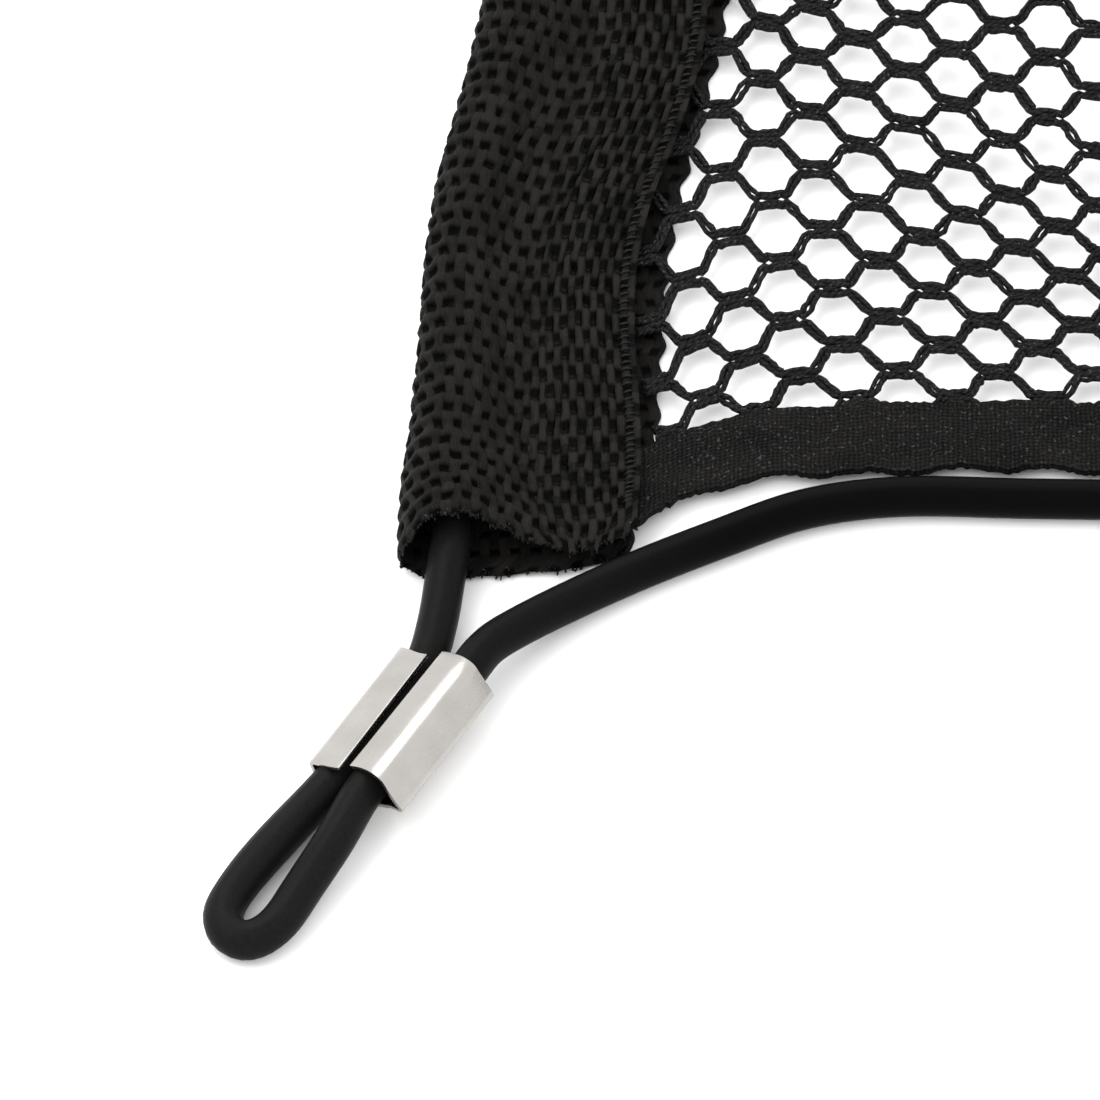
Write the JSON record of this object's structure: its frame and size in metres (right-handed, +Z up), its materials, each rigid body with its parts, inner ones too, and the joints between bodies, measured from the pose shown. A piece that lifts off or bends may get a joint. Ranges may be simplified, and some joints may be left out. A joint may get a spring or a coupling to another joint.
{
  "type": "cargo net",
  "caption": "Small elastic cargo net: hexagonal mesh with taped long edges, webbing sleeves at its short ends, and an elastic cord that forms a crimped loop at each corner.",
  "frame": {"origin": "middle of the net, on the surface that it lies on", "axes": "+X along the net's long side, +Y across it, from the pictured edge to the far one, +Z up"},
  "size_m": [0.3891, 0.3369, 0.0094],
  "materials": {
    "webbing": "coarse plain-woven polypropylene webbing, black, slight sheen",
    "netting": "warp-knitted black polyester net",
    "binding": "fine-woven black binding tape",
    "elastic": "smooth black covered elastic cord, satin",
    "nickel": "bright nickel-plated steel strip, lightly brushed"
  },
  "bodies": {
    "root": {"net_panel": "netting", "sleeve_left": "webbing", "sleeve_right": "webbing", "tape_lower": "binding", "tape_upper": "binding", "cord_lower": "elastic", "cord_upper": "elastic", "ferrule_lower_left": "nickel", "ferrule_lower_right": "nickel", "ferrule_upper_right": "nickel", "ferrule_upper_left": "nickel"}
  },
  "joints": []
}
